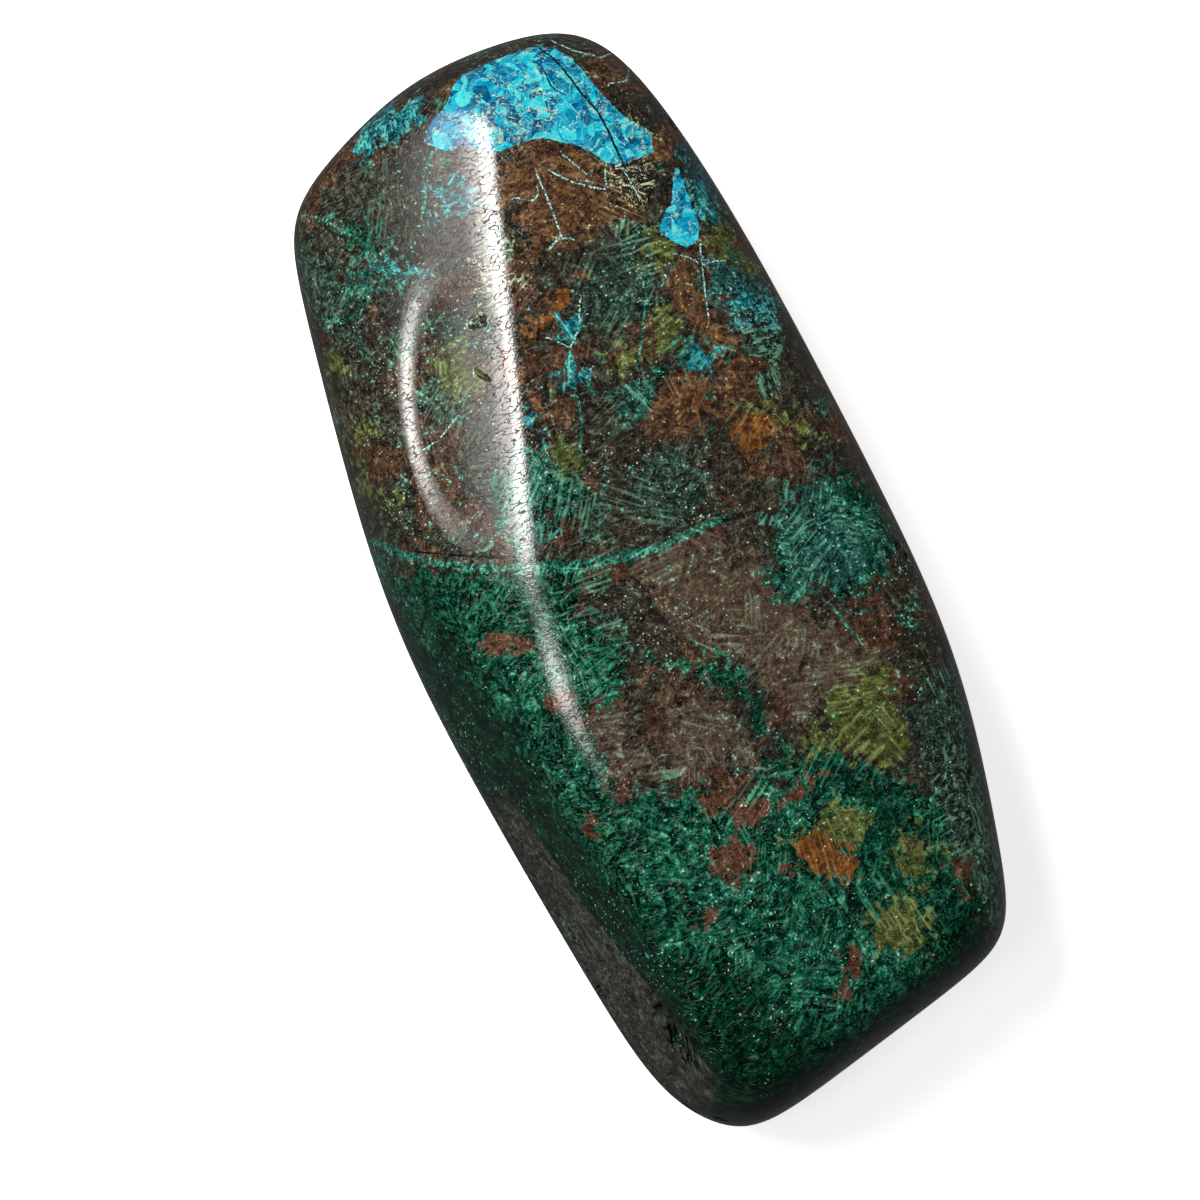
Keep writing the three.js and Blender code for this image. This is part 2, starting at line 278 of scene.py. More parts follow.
# Seams of green-blue chrysocolla, each with its half width and the points that it runs through.
SEAMS = [
    (0.42, [(-11.7, 3.9), (-10, 3), (-8.1, 1.9), (-6.4, 1.7), (-4.2, 1.1), (-2, 0.6)]),
    (0.3, [(-2, 0.6), (0.2, 0.3), (4.1, 0.4), (5.8, 0.3)]),
    (0.3, [(-20.5, 11.4), (-19.2, 9.4), (-17.8, 7.8), (-16.4, 6.7), (-14.5, 5.3), (-12.3, 4.1)]),
    (0.14, [(-2.7, 38.8), (-4.3, 37.4), (-4.9, 35.5), (-5.6, 34.4)]),
    (0.12, [(-11.4, 31), (-9.1, 30.6), (-7.4, 29.5)]),
    (0.1, [(-12, 36.8), (-10.8, 34.4), (-11.4, 32.6), (-10, 31.2)]),
    (0.1, [(-17, 27), (-15.2, 28.4), (-12.6, 30)]),
    (0.12, [(11, -10.2), (11.4, -12), (11.9, -13.8)]),
    (0.1, [(-3, 10), (-1.6, 12.4), (-0.9, 15), (-0.6, 17.4), (0.4, 18.6)]),
    (0.1, [(4.6, 14.8), (6.4, 17.4), (8, 20), (9.6, 22.4)]),
]

# Thin bright veins of the same kind.
VEINS = [
    (0.08, [(4.1, 33.3), (4, 31), (3.8, 28.5), (3.6, 27.2)]),
    (0.07, [(5.2, 32.9), (6.5, 31.3), (7.6, 30.4), (8.9, 29.5), (9.6, 31.3)]),
    (0.06, [(1.6, 32), (2.9, 31.1), (3.6, 31.6)]),
    (0.06, [(6.8, 33.8), (8, 31.3)]),
    (0.1, [(2.4, 26.9), (3.6, 27.5), (4.2, 26.8)]),
    (0.06, [(10.6, 33), (11, 30.2), (11.2, 27.4)]),
    (0.07, [(14.2, 22.3), (13.6, 20.6), (12.6, 18), (11.9, 15.8)]),
    (0.06, [(12, 22.2), (13.6, 20.7), (15.4, 20.2)]),
    (0.08, [(11, 43.6), (12, 42), (14, 40.6), (15.4, 41)]),
    (0.06, [(13.4, 38), (15, 37.8), (16.6, 39.6)]),
    (0.07, [(-1, 20), (0.2, 18.5), (1.6, 19.7), (2.7, 21.9)]),
    (0.06, [(-15, 16.2), (-12.6, 16.4), (-10.6, 17.4)]),
]

# Dark cracks, with their half widths.
CRACKS = [
    (0.1, [(9.5, 43.4), (10, 42), (10.4, 40), (10.7, 38), (11.3, 36), (11.3, 33.6), (11.2, 31)]),
    (0.07, [(8.7, 41), (8.6, 39.6), (9.2, 38.6)]),
    (0.06, [(2.2, 22.6), (2.8, 20.6), (2.2, 19)]),
    (0.08, [(-18, 8.8), (-15, 6.8), (-12, 5)]),
    (0.05, [(-6.1, 12), (-5.6, 13.4)]),
    (0.05, [(2.6, -23.4), (2.4, -25)]),
]

# Each mineral's colours as the eye sees them: dark gaps, body, lighter parts and light fibres. The last
# number is how strongly the fibres show.
PALETTES = {
    "brown": ((18, 17, 15), (38, 32, 26), (57, 51, 40), (98, 124, 106), 0.35),
    "red_brown": ((26, 17, 13), (54, 36, 27), (82, 57, 42), (132, 118, 92), 0.35),
    "stained": ((11, 17, 15), (25, 38, 31), (45, 72, 57), (110, 160, 132), 0.6),
    "sand": ((44, 35, 30), (70, 54, 43), (84, 70, 55), (132, 156, 134), 0.35),
    "charcoal": ((11, 15, 14), (28, 37, 32), (45, 66, 55), (104, 150, 126), 0.6),
    "steel": ((10, 18, 24), (20, 38, 44), (30, 72, 82), (100, 196, 204), 0.7),
    "light_green": ((1, 20, 13), (4, 54, 39), (20, 91, 68), (88, 170, 138), 0.7),
    "mid_green": ((0, 8, 4), (0, 34, 23), (6, 66, 47), (56, 132, 102), 0.6),
    "deep_green": ((0, 5, 2), (0, 24, 14), (3, 48, 30), (28, 96, 68), 0.45),
    "umber": ((36, 24, 16), (68, 46, 31), (102, 69, 42), (142, 124, 86), 0.45),
    "olive": ((34, 38, 20), (61, 65, 32), (86, 91, 38), (130, 152, 94), 0.7),
    "ochre": ((50, 30, 12), (84, 50, 24), (116, 70, 30), (150, 112, 62), 0.4),
    "rust": ((42, 26, 20), (72, 46, 34), (94, 64, 48), (130, 104, 84), 0.4),
    "turquoise": ((6, 26, 28), (16, 54, 50), (36, 90, 78), (104, 176, 150), 0.5),
    "cyan": ((0, 26, 36), (2, 70, 84), (10, 116, 124), (110, 212, 204), 0.7),
    "azure": ((0, 76, 118), (0, 134, 176), (6, 176, 202), (84, 212, 212), 0.25),
    "seam": ((0, 32, 36), (6, 78, 70), (34, 132, 108), (120, 208, 180), 0.7),
    # The ground flat's grey is partly its own dark mottled stone, partly a painted reflection of the grey
    # surroundings.
    "ground": ((16, 19, 17), (44, 47, 42), (68, 72, 66), (120, 126, 116), 0.4),
}
# The tones at which those four colours are reached.
TONE_STOPS = (0.3, 0.47, 0.62, 0.78)
# The colours of small marks.
ACCENTS = {
    "azure_vein": (176, 212, 190),
    "cream": (190, 202, 164),
    "scratch": (14, 24, 24),
    "dark_vein": (10, 140, 160),
    "light_vein": (190, 240, 226),
    "crack": (12, 16, 18),
    "cream_glint": (226, 232, 190),
    "blue_glint": (108, 222, 212),
    "mint_dot": (96, 202, 176),
    "pit": (8, 10, 9),
    "dark_hollow": (5, 7, 6),
    "light_hollow": (48, 52, 42),
}

# The minerals in the order in which they lie over the rock, each with how far its edge wanders and how soft
# it is, in mm.
LAYERS = [
    ("sand", 1.6, 0.8),
    ("charcoal", 1.0, 0.5),
    ("steel", 1.4, 0.5),
    ("malachite", 1.0, 0.15),
    ("umber", 1.0, 0.3),
    ("olive", 1.2, 0.5),
    ("ochre", 1.0, 0.4),
    ("rust", 0.6, 0.12),
    ("turquoise", 1.7, 0.25),
    ("cyan", 1.1, 0.2),
    ("azure", 0.07, 0.04),
]
# The same for the deep green in the malachite, and for the etched places with the painted highlight among
# them.
DEEP_EDGE = (1.0, 1.4)
ETCHED_AND_HIGHLIT_EDGE = (1.2, 0.5)
# How far from a line's edge its colour may show, in mm.
LINE_REACH = 0.35

# The fine texture: how many of each kind there are in a mm, and how much longer than wide a stroke is.
BLOCKS_PER_MM = 0.3
CHIPS_PER_MM = 1.15
GRAIN_PER_MM = 5.0
FRAY_PER_MM = 1.5
STROKES_PER_MM = 3.8
STROKE_STRETCH = 12
SPARKLES_PER_MM = 5.0
BEADS_PER_MM = 2.4

# The roughness of the polish at its best and worst, of scratches, of the ground flat, and of hollows.
BEST_POLISH = 0.05
WORST_POLISH = 0.09
SCRATCH_ROUGHNESS = 0.6
GROUND_ROUGHNESS = 0.45
RAW_ROUGHNESS = 0.55
REFRACTION = 1.55
# The height of the finest relief, in mm.
RELIEF = 0.009


def direction(bearing):
    return math.cos(math.radians(bearing)), math.sin(math.radians(bearing))


def soft_max(distances, softness):
    stacked = np.stack(distances)
    largest = stacked.max(axis=0)
    return largest + softness * np.log(np.exp((stacked - largest) / softness).sum(axis=0))


def outside_side(point, side):
    """How far each point is outside one of the stone's sides, negative inside it."""
    bearing, reach, above, below = side
    fx, fy = direction(bearing)
    rise = point[:, 2] - WIDEST_HEIGHT
    return point[:, 0] * fx + point[:, 1] * fy - reach + rise**2 / (2 * np.where(rise > 0, above, below))


def above_dome(point, dome):
    """How far each point is above a face that falls away from its middle."""
    sx, sy = dome["slope"]
    rx, ry = dome["radius"]
    x, y = point[:, 0], point[:, 1]
    height = dome["height"] + sx * x + sy * y - x**2 / (2 * rx) - y**2 / (2 * ry)
    return (point[:, 2] - height) / math.sqrt(1 + sx**2 + sy**2)


def below_back(point):
    sag = point[:, 0] ** 2 / (2 * BACK_RADIUS[0]) + point[:, 1] ** 2 / (2 * BACK_RADIUS[1])
    return sag - BACK_DEPTH - point[:, 2]


def outside_ground_flat(point):
    fx, fy = direction(GROUND_FLAT["bearing"])
    lean = math.radians(GROUND_FLAT["lean"])
    level = (point[:, 0] * fx + point[:, 1] * fy) * math.cos(lean)
    return level + point[:, 2] * math.sin(lean) - GROUND_FLAT["reach"]


def smooth_step(value, low, high):
    share = np.clip((value - low) / (high - low), 0, 1)
    return share * share * (3 - 2 * share)


def scoop_depth(point):
    """How deep the scoop in the bevel is at each point. It is deepest along its left wall."""
    fx, fy = direction(SCOOP["bearing"])
    x = point[:, 0] - SCOOP["middle"][0]
    y = point[:, 1] - SCOOP["middle"][1]
    along = (x * fx + y * fy) / SCOOP["half_length"]
    across = (y * fx - x * fy) / SCOOP["half_width"]
    wall = smooth_step(1 - np.hypot(along, across), 0, 1 - WALL_START)
    return np.where(point[:, 2] < CORE_HEIGHT, 0, SCOOP["depth"] * wall * (1 + across) / 2)


def outside_stone(point):
    """Negative inside the polished stone and positive outside it."""
    side = soft_max([outside_side(point, row) for row in SIDES], CORNER_SOFTNESS)
    body = soft_max([side, above_dome(point, MAIN_FACE), below_back(point)], RIM_SOFTNESS)
    bevelled = soft_max([body, above_dome(point, LEFT_BEVEL)], BEVEL_SOFTNESS)
    return soft_max([bevelled, outside_ground_flat(point)], GROUND_EDGE_SOFTNESS) + scoop_depth(point)


def surface_reach(rays, outside=outside_stone, longest=LONGEST_RAY):
    """How far each ray from the core goes to the surface, found by halving."""
    near = np.zeros(len(rays))
    far = near + longest
    for _ in range(HALVINGS):
        middle = (near + far) / 2
        inside = outside(CORE + rays * middle[:, None]) < 0
        near = np.where(inside, middle, near)
        far = np.where(inside, far, middle)
    return near


def surface_point(place):
    """Where the ray from the core through a place meets the smooth surface."""
    ray = np.array(place) - CORE
    ray /= np.linalg.norm(ray)
    return CORE + ray * surface_reach(ray[None])[0]


def normal_at(point, step=0.05):
    ends = [outside_stone(np.array([point + a * step, point - a * step])) for a in np.eye(3)]
    normal = np.array([high - low for high, low in ends])
    return normal / np.linalg.norm(normal)


def hollow_frame(hollow):
    """The middle of a hollow's lens, and its long, short and outward directions as rows."""
    middle = surface_point(hollow[0])
    normal = normal_at(middle)
    long = np.array([*direction(hollow[3]), 0])
    long -= normal * long.dot(normal)
    long /= np.linalg.norm(long)
    return middle, np.array([long, np.cross(normal, long), normal])


def inside_hollow(point, hollow, middle, axes):
    """How far each point is inside a hollow's lens, negative outside it."""
    sizes = np.array([*hollow[1], hollow[2]])
    return (1 - np.linalg.norm((point - middle) @ axes.T / sizes, axis=1)) * sizes.min()


def fine_ball(edge_faces):
    """Even corners on the unit ball and the faces between them, from an icosahedron with gridded faces."""
    golden = (1 + math.sqrt(5)) / 2
    ends = [np.roll((0, a, b), turn) for turn in range(3) for a in (-1, 1) for b in (-golden, golden)]
    ends = np.array(ends) / math.hypot(1, golden)
    nearest = np.linalg.norm(ends[:, None] - ends, axis=2).round(3)
    edge = np.unique(nearest)[1]
    triples = [(a, b, c) for a in range(12) for b in range(a) for c in range(b)
               if nearest[a, b] == nearest[b, c] == nearest[a, c] == edge]
    grid = [(i, j) for i in range(edge_faces + 1) for j in range(edge_faces + 1 - i)]
    place = {spot: index for index, spot in enumerate(grid)}
    cells = [(place[i, j], place[i + 1, j], place[i, j + 1]) for i, j in grid if i + j < edge_faces]
    cells += [(place[i + 1, j], place[i + 1, j + 1], place[i, j + 1])
              for i, j in grid if i + j < edge_faces - 1]
    shares = np.array([(i, j, edge_faces - i - j) for i, j in grid]) / edge_faces
    points, faces = [], []
    for a, b, c in triples:
        outward = np.linalg.det(ends[[a, b, c]]) > 0
        faces.append(np.array(cells)[:, :: 1 if outward else -1] + len(points) * len(grid))
        points.append(shares @ ends[[a, b, c]])
    points = np.concatenate(points)
    points /= np.linalg.norm(points, axis=1, keepdims=True)
    _, kept, merged = np.unique(points.round(6), axis=0, return_index=True, return_inverse=True)
    return points[kept], merged.ravel()[np.concatenate(faces)]


def ripple(points):
    """An uneven wave around 0 that roughens the hollows."""
    heights = [sum(noise.noise(Vector(p) * turns) * size for turns, size in HOLLOW_WAVES) for p in points]
    return np.array(heights)


def carved_surface(points):
    """The points moved along their rays to the pitted surface, and how deep in a hollow each one is."""
    rays = points - CORE
    rays /= np.linalg.norm(rays, axis=1, keepdims=True)
    reach = surface_reach(rays)
    smooth = CORE + rays * reach[:, None]
    depth = np.full(len(points), -1.0)
    for hollow in HOLLOWS:
        middle, axes = hollow_frame(hollow)
        half_length, half_width = hollow[1]
        near = np.nonzero(np.linalg.norm(smooth - middle, axis=1) < half_length * CARVED_REACH)[0]

        def carved(at):
            uneven = inside_hollow(at, hollow, middle, axes) + HOLLOW_ROUGHNESS * half_width * ripple(at)
            return np.maximum(outside_stone(at), uneven)

        reach[near] = np.minimum(reach[near], surface_reach(rays[near], carved, reach[near] + 1))
        rim = inside_hollow(smooth[near], hollow, middle, axes) / half_width
        depth[near] = np.maximum(depth[near], rim)
    surface = CORE + rays * (reach - INSET)[:, None]
    surface[:, 2] = surface[:, 2].clip(min=0)
    return surface, depth


def pattern_place(surface):
    """Where each point finds its minerals on the layout. They slant and twist as they go down the stone."""
    drop = (PATTERN_TOP - surface[:, 2]).clip(min=0)
    twist = np.array([noise.noise_vector(Vector(p) * TWIST_SCALE)[:2] for p in surface])
    place = surface[:, :2] + drop[:, None] * np.array(PATTERN_SLANT) + twist * (drop * TWIST_SHARE)[:, None]
    for axis, half in enumerate((LAYOUT_HALF_WIDTH, LAYOUT_HALF_LENGTH)):
        beyond = (np.abs(place[:, axis]) - half).clip(min=0)
        place[:, axis] -= 2 * beyond * np.sign(place[:, axis])
    return place


def to_segment(place, start, end):
    """Each place's distance from a straight stretch, and the side of it that the place is on."""
    start, end = np.array(start, dtype=float), np.array(end, dtype=float)
    along = end - start
    offset = place - start
    share = (offset @ along / (along @ along)).clip(0, 1)
    away = offset - share[:, None] * along
    side = np.sign(along[0] * offset[:, 1] - along[1] * offset[:, 0])
    return np.hypot(away[:, 0], away[:, 1]), side


def inside_outline(place, outline):
    """How far each place is inside a closed outline, negative outside it."""
    nearest = np.full(len(place), FARTHEST)
    inside = np.zeros(len(place), dtype=bool)
    x, y = place.T
    for (x0, y0), (x1, y1) in zip(outline, outline[1:] + outline[:1]):
        distance, _ = to_segment(place, (x0, y0), (x1, y1))
        nearest = np.minimum(nearest, distance)
        crossed = (y0 > y) != (y1 > y)
        rise = y1 - y0 if y1 != y0 else 1
        inside ^= crossed & (x < x0 + (y - y0) * (x1 - x0) / rise)
    return np.where(inside, nearest, -nearest)


def nearest_line(place, lines):
    """The signed offset from the nearest line in half widths, and the distance outside its edge in mm."""
    offset = np.full(len(place), FARTHEST)
    gap = np.full(len(place), FARTHEST)
    for half_width, points in lines:
        for start, end in zip(points, points[1:]):
            distance, side = to_segment(place, start, end)
            closer = distance - half_width < gap
            offset = np.where(closer, side * distance / half_width, offset)
            gap = np.where(closer, distance - half_width, gap)
    return offset, gap


def dull_depth(surface):
    """How far each point is inside the dull part of the ground flat, in mm."""
    along, height = zip(*DULL_EDGE)
    below = np.interp(surface[:, 1], along, height) - surface[:, 2]
    before_end = (DULL_END - surface[:, 1]) * DULL_FADE
    return np.min([outside_ground_flat(surface) + DULL_MARGIN, below, before_end], axis=0)


def drift_at(point):
    """A slow wandering offset that bends the fine texture, in mm."""
    return noise.noise_vector(point * 0.5) * 1.1 + noise.noise_vector(point * 1.4) * 0.4


def cloud_at(point):
    """Three slow values between about -1 and 1 that vary the colours from place to place."""
    return noise.noise_vector(point * 0.13 + Vector((7, 3, 5))) + noise.noise_vector(point * 0.34) * 0.6


def pattern_values(surface):
    """Named values at each point that the stone's material reads."""
    place = pattern_place(surface)
    values = {}
    for mineral, outlines in MINERALS.items():
        values[mineral] = np.max([inside_outline(place, outline) for outline in outlines], axis=0)
    for name, lines in (("seam", SEAMS), ("vein", VEINS), ("crack", CRACKS)):
        values[name + "_offset"], values[name + "_gap"] = nearest_line(place, lines)
    values["ground"] = dull_depth(surface)
    return values


def refine_hollows(points, faces):
    """The faces near each hollow cut finer, so that its rim and floor are round."""
    mesh = bmesh.new()
    corners = [mesh.verts.new(p) for p in points]
    for face in faces:
        mesh.faces.new([corners[i] for i in face])
    mesh.verts.ensure_lookup_table()
    edges = list(mesh.edges)
    middles = np.array([e.verts[0].co + e.verts[1].co for e in edges]) / 2
    near = np.zeros(len(edges), dtype=bool)
    for hollow in HOLLOWS:
        reach = hollow[1][0] * FINER_REACH
        near |= np.linalg.norm(middles - hollow_frame(hollow)[0], axis=1) < reach
    chosen = [edges[i] for i in np.nonzero(near)[0]]
    bmesh.ops.subdivide_edges(mesh, edges=chosen, cuts=HOLLOW_CUTS, use_grid_fill=True)
    bmesh.ops.triangulate(mesh, faces=[f for f in mesh.faces if len(f.verts) > 3])
    mesh.verts.index_update()
    finer = np.array([v.co for v in mesh.verts])
    loops = np.array([[v.index for v in f.verts] for f in mesh.faces])
    mesh.free()
    return finer, loops


def store_values(mesh, surface, hollow):
    """Gives the mesh what the stone's material reads at each point."""
    for name, value in {**pattern_values(surface), "hollow": hollow}.items():
        mesh.attributes.new(name, "FLOAT", "POINT").data.foreach_set("value", value.astype(np.float32))
    for name, value_at in (("drift", drift_at), ("cloud", cloud_at)):
        vectors = np.array([value_at(Vector(point)) for point in surface], dtype=np.float32)
        mesh.attributes.new(name, "FLOAT_VECTOR", "POINT").data.foreach_set("vector", vectors.ravel())


def make_stone(material):
    directions, faces = fine_ball(EDGE_FACES)
    rays = directions * SPREAD
    rays /= np.linalg.norm(rays, axis=1, keepdims=True)
    points, faces = refine_hollows(CORE + rays * surface_reach(rays)[:, None], faces)
    surface, hollow = carved_surface(points)
    mesh = bpy.data.meshes.new("polished_stone")
    mesh.from_pydata(surface * MM, [], faces)
    mesh.shade_smooth()
    store_values(mesh, surface, hollow)
    mesh.materials.append(material)
    stone = bpy.data.objects.new("polished_stone", mesh)
    bpy.context.scene.collection.objects.link(stone)
    return stone


class Recipe:
    """A material being put together from nodes. Values are node outputs, numbers, colours or vectors."""

    def __init__(self, name):
        self.material = bpy.data.materials.new(name)
        self.material.use_nodes = True
        self.tree = self.material.node_tree
        self.shader = self.tree.nodes["Principled BSDF"]
        place = self.node("ShaderNodeTexCoord").outputs["Object"]
        self.place = self.scaled(place, (1 / MM,) * 3)

    def node(self, kind, settings=None, **inputs):
        made = self.tree.nodes.new(kind)
        for name, value in (settings or {}).items():
            setattr(made, name, value)
        for name, value in inputs.items():
            self.fill(made.inputs[name.replace("_", " ")], value)
        return made

    def fill(self, socket, value):
        if isinstance(value, bpy.types.NodeSocket):
            self.tree.links.new(value, socket)
        else:
            socket.default_value = value

    def math(self, operation, first, second=0.0):
        made = self.node("ShaderNodeMath", {"operation": operation})
        self.fill(made.inputs[0], first)
        self.fill(made.inputs[1], second)
        return made.outputs[0]

    def add(self, *values):
        total = values[0]
        for value in values[1:]:
            total = self.math("ADD", total, value)
        return total

    def times(self, *values):
        product = values[0]
        for value in values[1:]:
            product = self.math("MULTIPLY", product, value)
        return product

    def most(self, *values):
        largest = values[0]
        for value in values[1:]:
            largest = self.math("MAXIMUM", largest, value)
        return largest

    def opposite(self, value):
        return self.math("SUBTRACT", 1.0, value)

    def step(self, value, low, high):
        """0 at low, 1 at high, and smooth between them."""
        made = self.node("ShaderNodeMapRange", {"interpolation_type": "SMOOTHSTEP"})
        self.fill(made.inputs["Value"], value)
        self.fill(made.inputs["From Min"], low)
        self.fill(made.inputs["From Max"], high)
        return made.outputs["Result"]

    def between(self, share, low, high):
        made = self.node("ShaderNodeMix", {"data_type": "FLOAT"})
        for socket, value in zip((made.inputs[0], made.inputs[2], made.inputs[3]), (share, low, high)):
            self.fill(socket, value)
        return made.outputs[0]

    def blend(self, share, low, high):
        """A colour between two others."""
        made = self.node("ShaderNodeMix", {"data_type": "RGBA"})
        for socket, value in zip((made.inputs[0], made.inputs[6], made.inputs[7]), (share, low, high)):
            self.fill(socket, value)
        return made.outputs[2]

    def ramp(self, value, stops):
        """A colour that passes through some (position, colour) stops as the value grows."""
        made = self.node("ShaderNodeValToRGB", Fac=value)
        elements = made.color_ramp.elements
        elements[1].position, elements[1].color = stops[-1]
        elements[0].position, elements[0].color = stops[0]
        for position, colour in stops[1:-1]:
            elements.new(position).color = colour
        return made.outputs["Color"]

    def scaled(self, vector, scale):
        made = self.node("ShaderNodeMapping", {"vector_type": "POINT"}, Vector=vector, Scale=scale)
        return made.outputs["Vector"]

    def shifted(self, vector, shift):
        made = self.node("ShaderNodeMapping", {"vector_type": "POINT"}, Vector=vector, Location=shift)
        return made.outputs["Vector"]

    def turned(self, vector, angle):
        made = self.node("ShaderNodeVectorRotate", {"rotation_type": "Z_AXIS"}, Vector=vector, Angle=angle)
        return made.outputs["Vector"]

    def moved(self, vector, offset):
        made = self.node("ShaderNodeVectorMath", {"operation": "ADD"})
        self.fill(made.inputs[0], vector)
        self.fill(made.inputs[1], offset)
        return made.outputs[0]

    def noise(self, vector, per_mm, detail=2.0, roughness=0.5, distortion=0.0):
        made = self.node("ShaderNodeTexNoise", Vector=vector, Scale=per_mm, Detail=detail,
                         Roughness=roughness, Distortion=distortion)
        return made.outputs["Fac"]

    def channels(self, colour):
        made = self.node("ShaderNodeSeparateColor", Color=colour)
        return made.outputs[0], made.outputs[1], made.outputs[2]

    def cells(self, vector, per_mm):
        """Three chance values, the same all over one cell and new in the next."""
        made = self.node("ShaderNodeTexVoronoi", Vector=vector, Scale=per_mm)
        return self.channels(made.outputs["Color"])

    def attribute(self, name, output="Fac"):
        made = self.node("ShaderNodeAttribute", {"attribute_name": name})
        return made.outputs[output]

    def threads(self, vector, per_mm, width, distortion=0.0, detail=1.0):
        """Thin winding lines where a noise passes through its middle."""
        wave = self.noise(vector, per_mm, detail, 0.5, distortion)
        away = self.math("ABSOLUTE", self.math("SUBTRACT", wave, 0.5))
        return self.opposite(self.step(away, width * 0.4, width))


def shade(red, green, blue):
    """A colour given as the eye sees it, from 0 to 255, as a shader takes it."""
    levels = [level / 255 for level in (red, green, blue)]
    return tuple(v / 12.92 if v <= 0.04045 else ((v + 0.055) / 1.055) ** 2.4 for v in levels) + (1,)


def accent(name):
    return shade(*ACCENTS[name])


class Texture:
    """The fine structures of the stone that all its minerals share."""

    def __init__(self, recipe):
        self.recipe = recipe
        self.bent = recipe.moved(recipe.place, recipe.attribute("drift", "Vector"))
        self.clouds = recipe.channels(recipe.attribute("cloud", "Color"))
        self.blocks = recipe.cells(self.bent, BLOCKS_PER_MM)
        self.chips = recipe.cells(self.bent, CHIPS_PER_MM)
        self.grain = recipe.noise(recipe.place, GRAIN_PER_MM, 2.0, 0.75)
        self.fray = recipe.noise(recipe.place, FRAY_PER_MM, 3.0, 0.7)
        self.hatch = self.strokes(self.blocks[0])
        self.lines = self.fibres()
        self.tone = recipe.add(recipe.times(self.fray, 0.75), recipe.times(self.grain, 0.6),
                               recipe.times(self.chips[1], 0.16), recipe.times(self.hatch, 0.3), -0.405)
        self.scratches = recipe.threads(recipe.scaled(recipe.place, (0.5, 1.2, 1)), 1.6, 0.028)
        self.sparkle = recipe.noise(recipe.place, SPARKLES_PER_MM, 0.0)
        self.pits = recipe.step(self.sparkle, 0.17, 0.13)

    def strokes(self, chance):
        """A noise drawn out along a direction that changes from block to block."""
        recipe = self.recipe
        turn = recipe.add(recipe.times(chance, 2.8), -1.9)
        line = recipe.scaled(recipe.turned(recipe.place, turn), (1 / STROKE_STRETCH, 1, 1))
        return recipe.noise(line, STROKES_PER_MM, 0.0)

    def fibres(self):
        """Light fibres: straight strokes in some blocks, winding strands, and fine wisps."""
        recipe = self.recipe
        strands = recipe.threads(self.bent, 1.3, 0.026, 0.8)
        wisps = recipe.threads(recipe.shifted(recipe.place, (4, 9, 2)), 2.6, 0.05, 0.4, 0.0)
        hatched = recipe.step(recipe.add(self.blocks[1], recipe.times(self.clouds[1], 0.3)), 0.4, 0.5)
        lines = recipe.most(
            recipe.times(recipe.step(self.hatch, 0.6, 0.68), hatched),
            recipe.times(strands, recipe.step(self.grain, 0.42, 0.54)),
            recipe.times(wisps, recipe.step(self.fray, 0.46, 0.6)),
        )
        dense = recipe.step(self.clouds[0], -0.6, 0.5)
        return recipe.times(lines, recipe.between(dense, 0.3, 1.0))


def paint(texture, palette, tone=None):
    """A mineral's colour from its darkest gaps to its lightest parts, crossed by light fibres."""
    recipe = texture.recipe
    *colours, fibrous = PALETTES[palette]
    stops = [(at, shade(*colour)) for at, colour in zip(TONE_STOPS, colours)]
    body = recipe.ramp(tone or texture.tone, stops)
    return recipe.blend(recipe.times(texture.lines, fibrous), body, stops[-1][1])


def mineral_share(texture, name, wander, edge):
    """1 where a mineral shows and 0 where it doesn't. Its edge wanders and is soft by some mm."""
    recipe = texture.recipe
    loose = recipe.add(recipe.times(texture.blocks[1], 1.3), recipe.times(texture.chips[2], 1.5),
                       recipe.times(texture.fray, 3.4), -3.1)
    return recipe.step(recipe.add(recipe.attribute(name), recipe.times(loose, wander)), -edge, edge)


def line_share(texture, name, shake, broken):
    """1 on the lines of a kind and 0 beside them. They waver by some half widths, and break in places."""
    recipe = texture.recipe
    offset = recipe.attribute(name + "_offset")
    offset = recipe.add(offset, recipe.times(recipe.add(texture.fray, -0.5), shake))
    line = recipe.opposite(recipe.step(recipe.math("ABSOLUTE", offset), 0.7, 1.3))
    near = recipe.math("LESS_THAN", recipe.attribute(name + "_gap"), LINE_REACH)
    return recipe.times(line, near, recipe.step(texture.grain, broken - 0.06, broken + 0.06))


def matrix_colour(texture):
    """Brown rock in blocks of slightly different hues, some of them stained green."""
    recipe = texture.recipe
    reddish = recipe.step(texture.blocks[2], 0.6, 0.66)
    rock = recipe.blend(reddish, paint(texture, "brown"), paint(texture, "red_brown"))
    damp = recipe.times(texture.clouds[1], 0.5)
    stained = recipe.step(recipe.add(texture.blocks[1], damp, recipe.times(texture.fray, 0.6)), 1.22, 1.28)
    return recipe.blend(stained, rock, paint(texture, "stained"))


def malachite_colour(texture):
    """Green in lighter and darker chips, and a deeper green where the layout has it."""
    recipe = texture.recipe
    light = recipe.step(recipe.add(texture.chips[1], texture.clouds[2]), 0.35, 0.9)
    green = recipe.blend(light, paint(texture, "mid_green"), paint(texture, "light_green"))
    return recipe.blend(mineral_share(texture, "deep", *DEEP_EDGE), green, paint(texture, "deep_green"))


def azure_colour(texture):
    """Bright blue chrysocolla in smooth chips, with paler veins between them."""
    recipe = texture.recipe
    facet = recipe.add(recipe.times(texture.chips[1], 0.5), recipe.times(texture.fray, 0.5),
                       recipe.times(texture.grain, 0.3), -0.15)
    vein = recipe.threads(recipe.shifted(texture.bent, (2, 5, 8)), 0.8, 0.022, 0.5)
    vein = recipe.times(vein, recipe.step(texture.grain, 0.42, 0.52), 0.8)
    return recipe.blend(vein, paint(texture, "azure", facet), accent("azure_vein"))


def mineral_colour(texture, name):
    if name == "malachite":
        return malachite_colour(texture)
    if name == "azure":
        return azure_colour(texture)
    return paint(texture, name)


